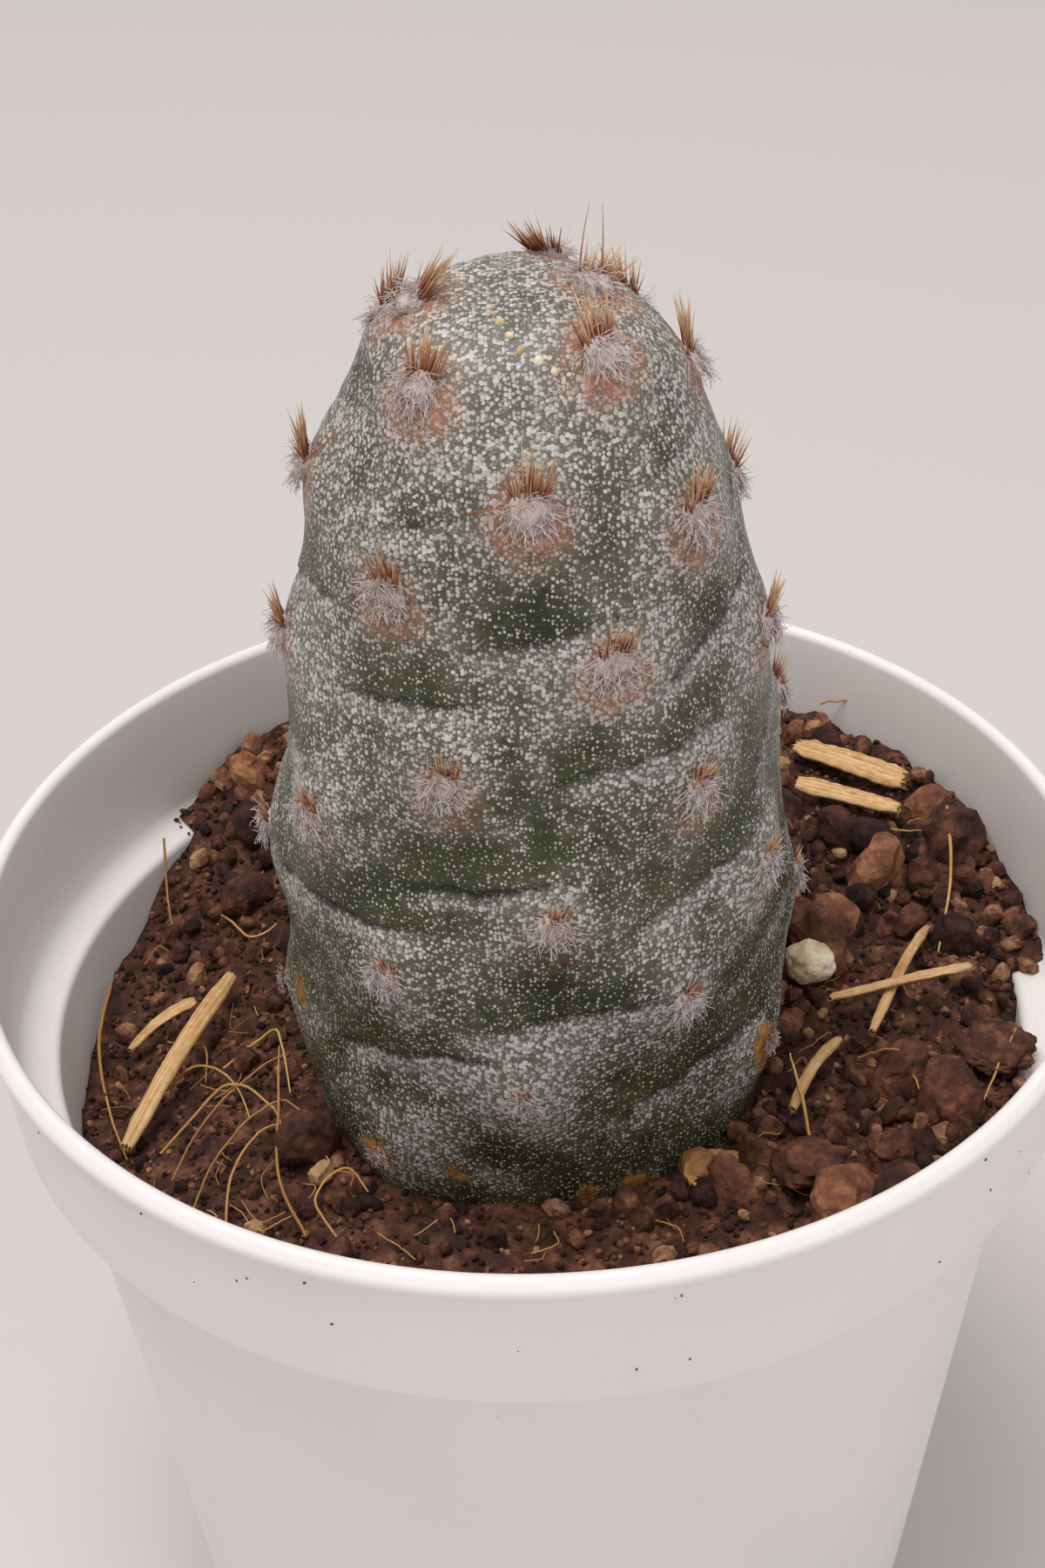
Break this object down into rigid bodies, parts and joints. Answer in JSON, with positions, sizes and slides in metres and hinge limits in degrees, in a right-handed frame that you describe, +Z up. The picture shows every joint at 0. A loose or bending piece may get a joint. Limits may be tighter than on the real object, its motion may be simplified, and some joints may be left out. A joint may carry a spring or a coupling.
{
  "type": "potted tephrocactus",
  "caption": "Stout single-stemmed spineless cactus with woolly bristle tufts, standing in gritty soil in a small tapered nursery pot.",
  "frame": {"origin": "centre of the pot's foot, on the surface that it stands on", "axes": "+Z up along the pot; -Y towards the front, the side that the stem stands nearer to"},
  "size_m": [0.055, 0.055, 0.0845],
  "materials": {
    "polypropylene": "satin moulded",
    "potting_soil": "damp and crumbly",
    "cactus_skin": "waxy with pale bloom",
    "wool": "matted wool and bristles",
    "perlite": "porous",
    "straw": "dry fibre",
    "bark": "rough"
  },
  "bodies": {
    "root": {"areole_01": "wool", "areole_02": "wool", "areole_03": "wool", "areole_04": "wool", "areole_05": "wool", "areole_06": "wool", "areole_07": "wool", "areole_08": "wool", "areole_09": "wool", "areole_10": "wool", "areole_11": "wool", "areole_12": "wool", "areole_13": "wool", "areole_14": "wool", "areole_15": "wool", "areole_16": "wool", "areole_17": "wool", "areole_18": "wool", "areole_19": "wool", "areole_20": "wool", "areole_21": "wool", "areole_22": "wool", "areole_23": "wool", "areole_24": "wool", "areole_25": "wool", "areole_26": "wool", "areole_27": "wool", "areole_28": "wool", "areole_29": "wool", "areole_30": "wool", "areole_31": "wool", "areole_32": "wool", "areole_33": "wool", "areole_34": "wool", "areole_35": "wool", "areole_36": "wool", "areole_37": "wool", "areole_38": "wool", "areole_39": "wool", "areole_40": "wool", "areole_41": "wool", "areole_42": "wool", "bark_flake": "bark", "bark_strip_back": "straw", "bark_strip_front": "straw", "lava_lump_left": "bark", "lava_lump_right": "bark", "pale_straw": "straw", "perlite_bead": "perlite", "pot": "polypropylene", "soil": "potting_soil", "stem": "cactus_skin", "straw_blade": "straw", "straw_cross": "straw", "straw_long": "straw", "straw_short": "straw"}
  },
  "joints": []
}
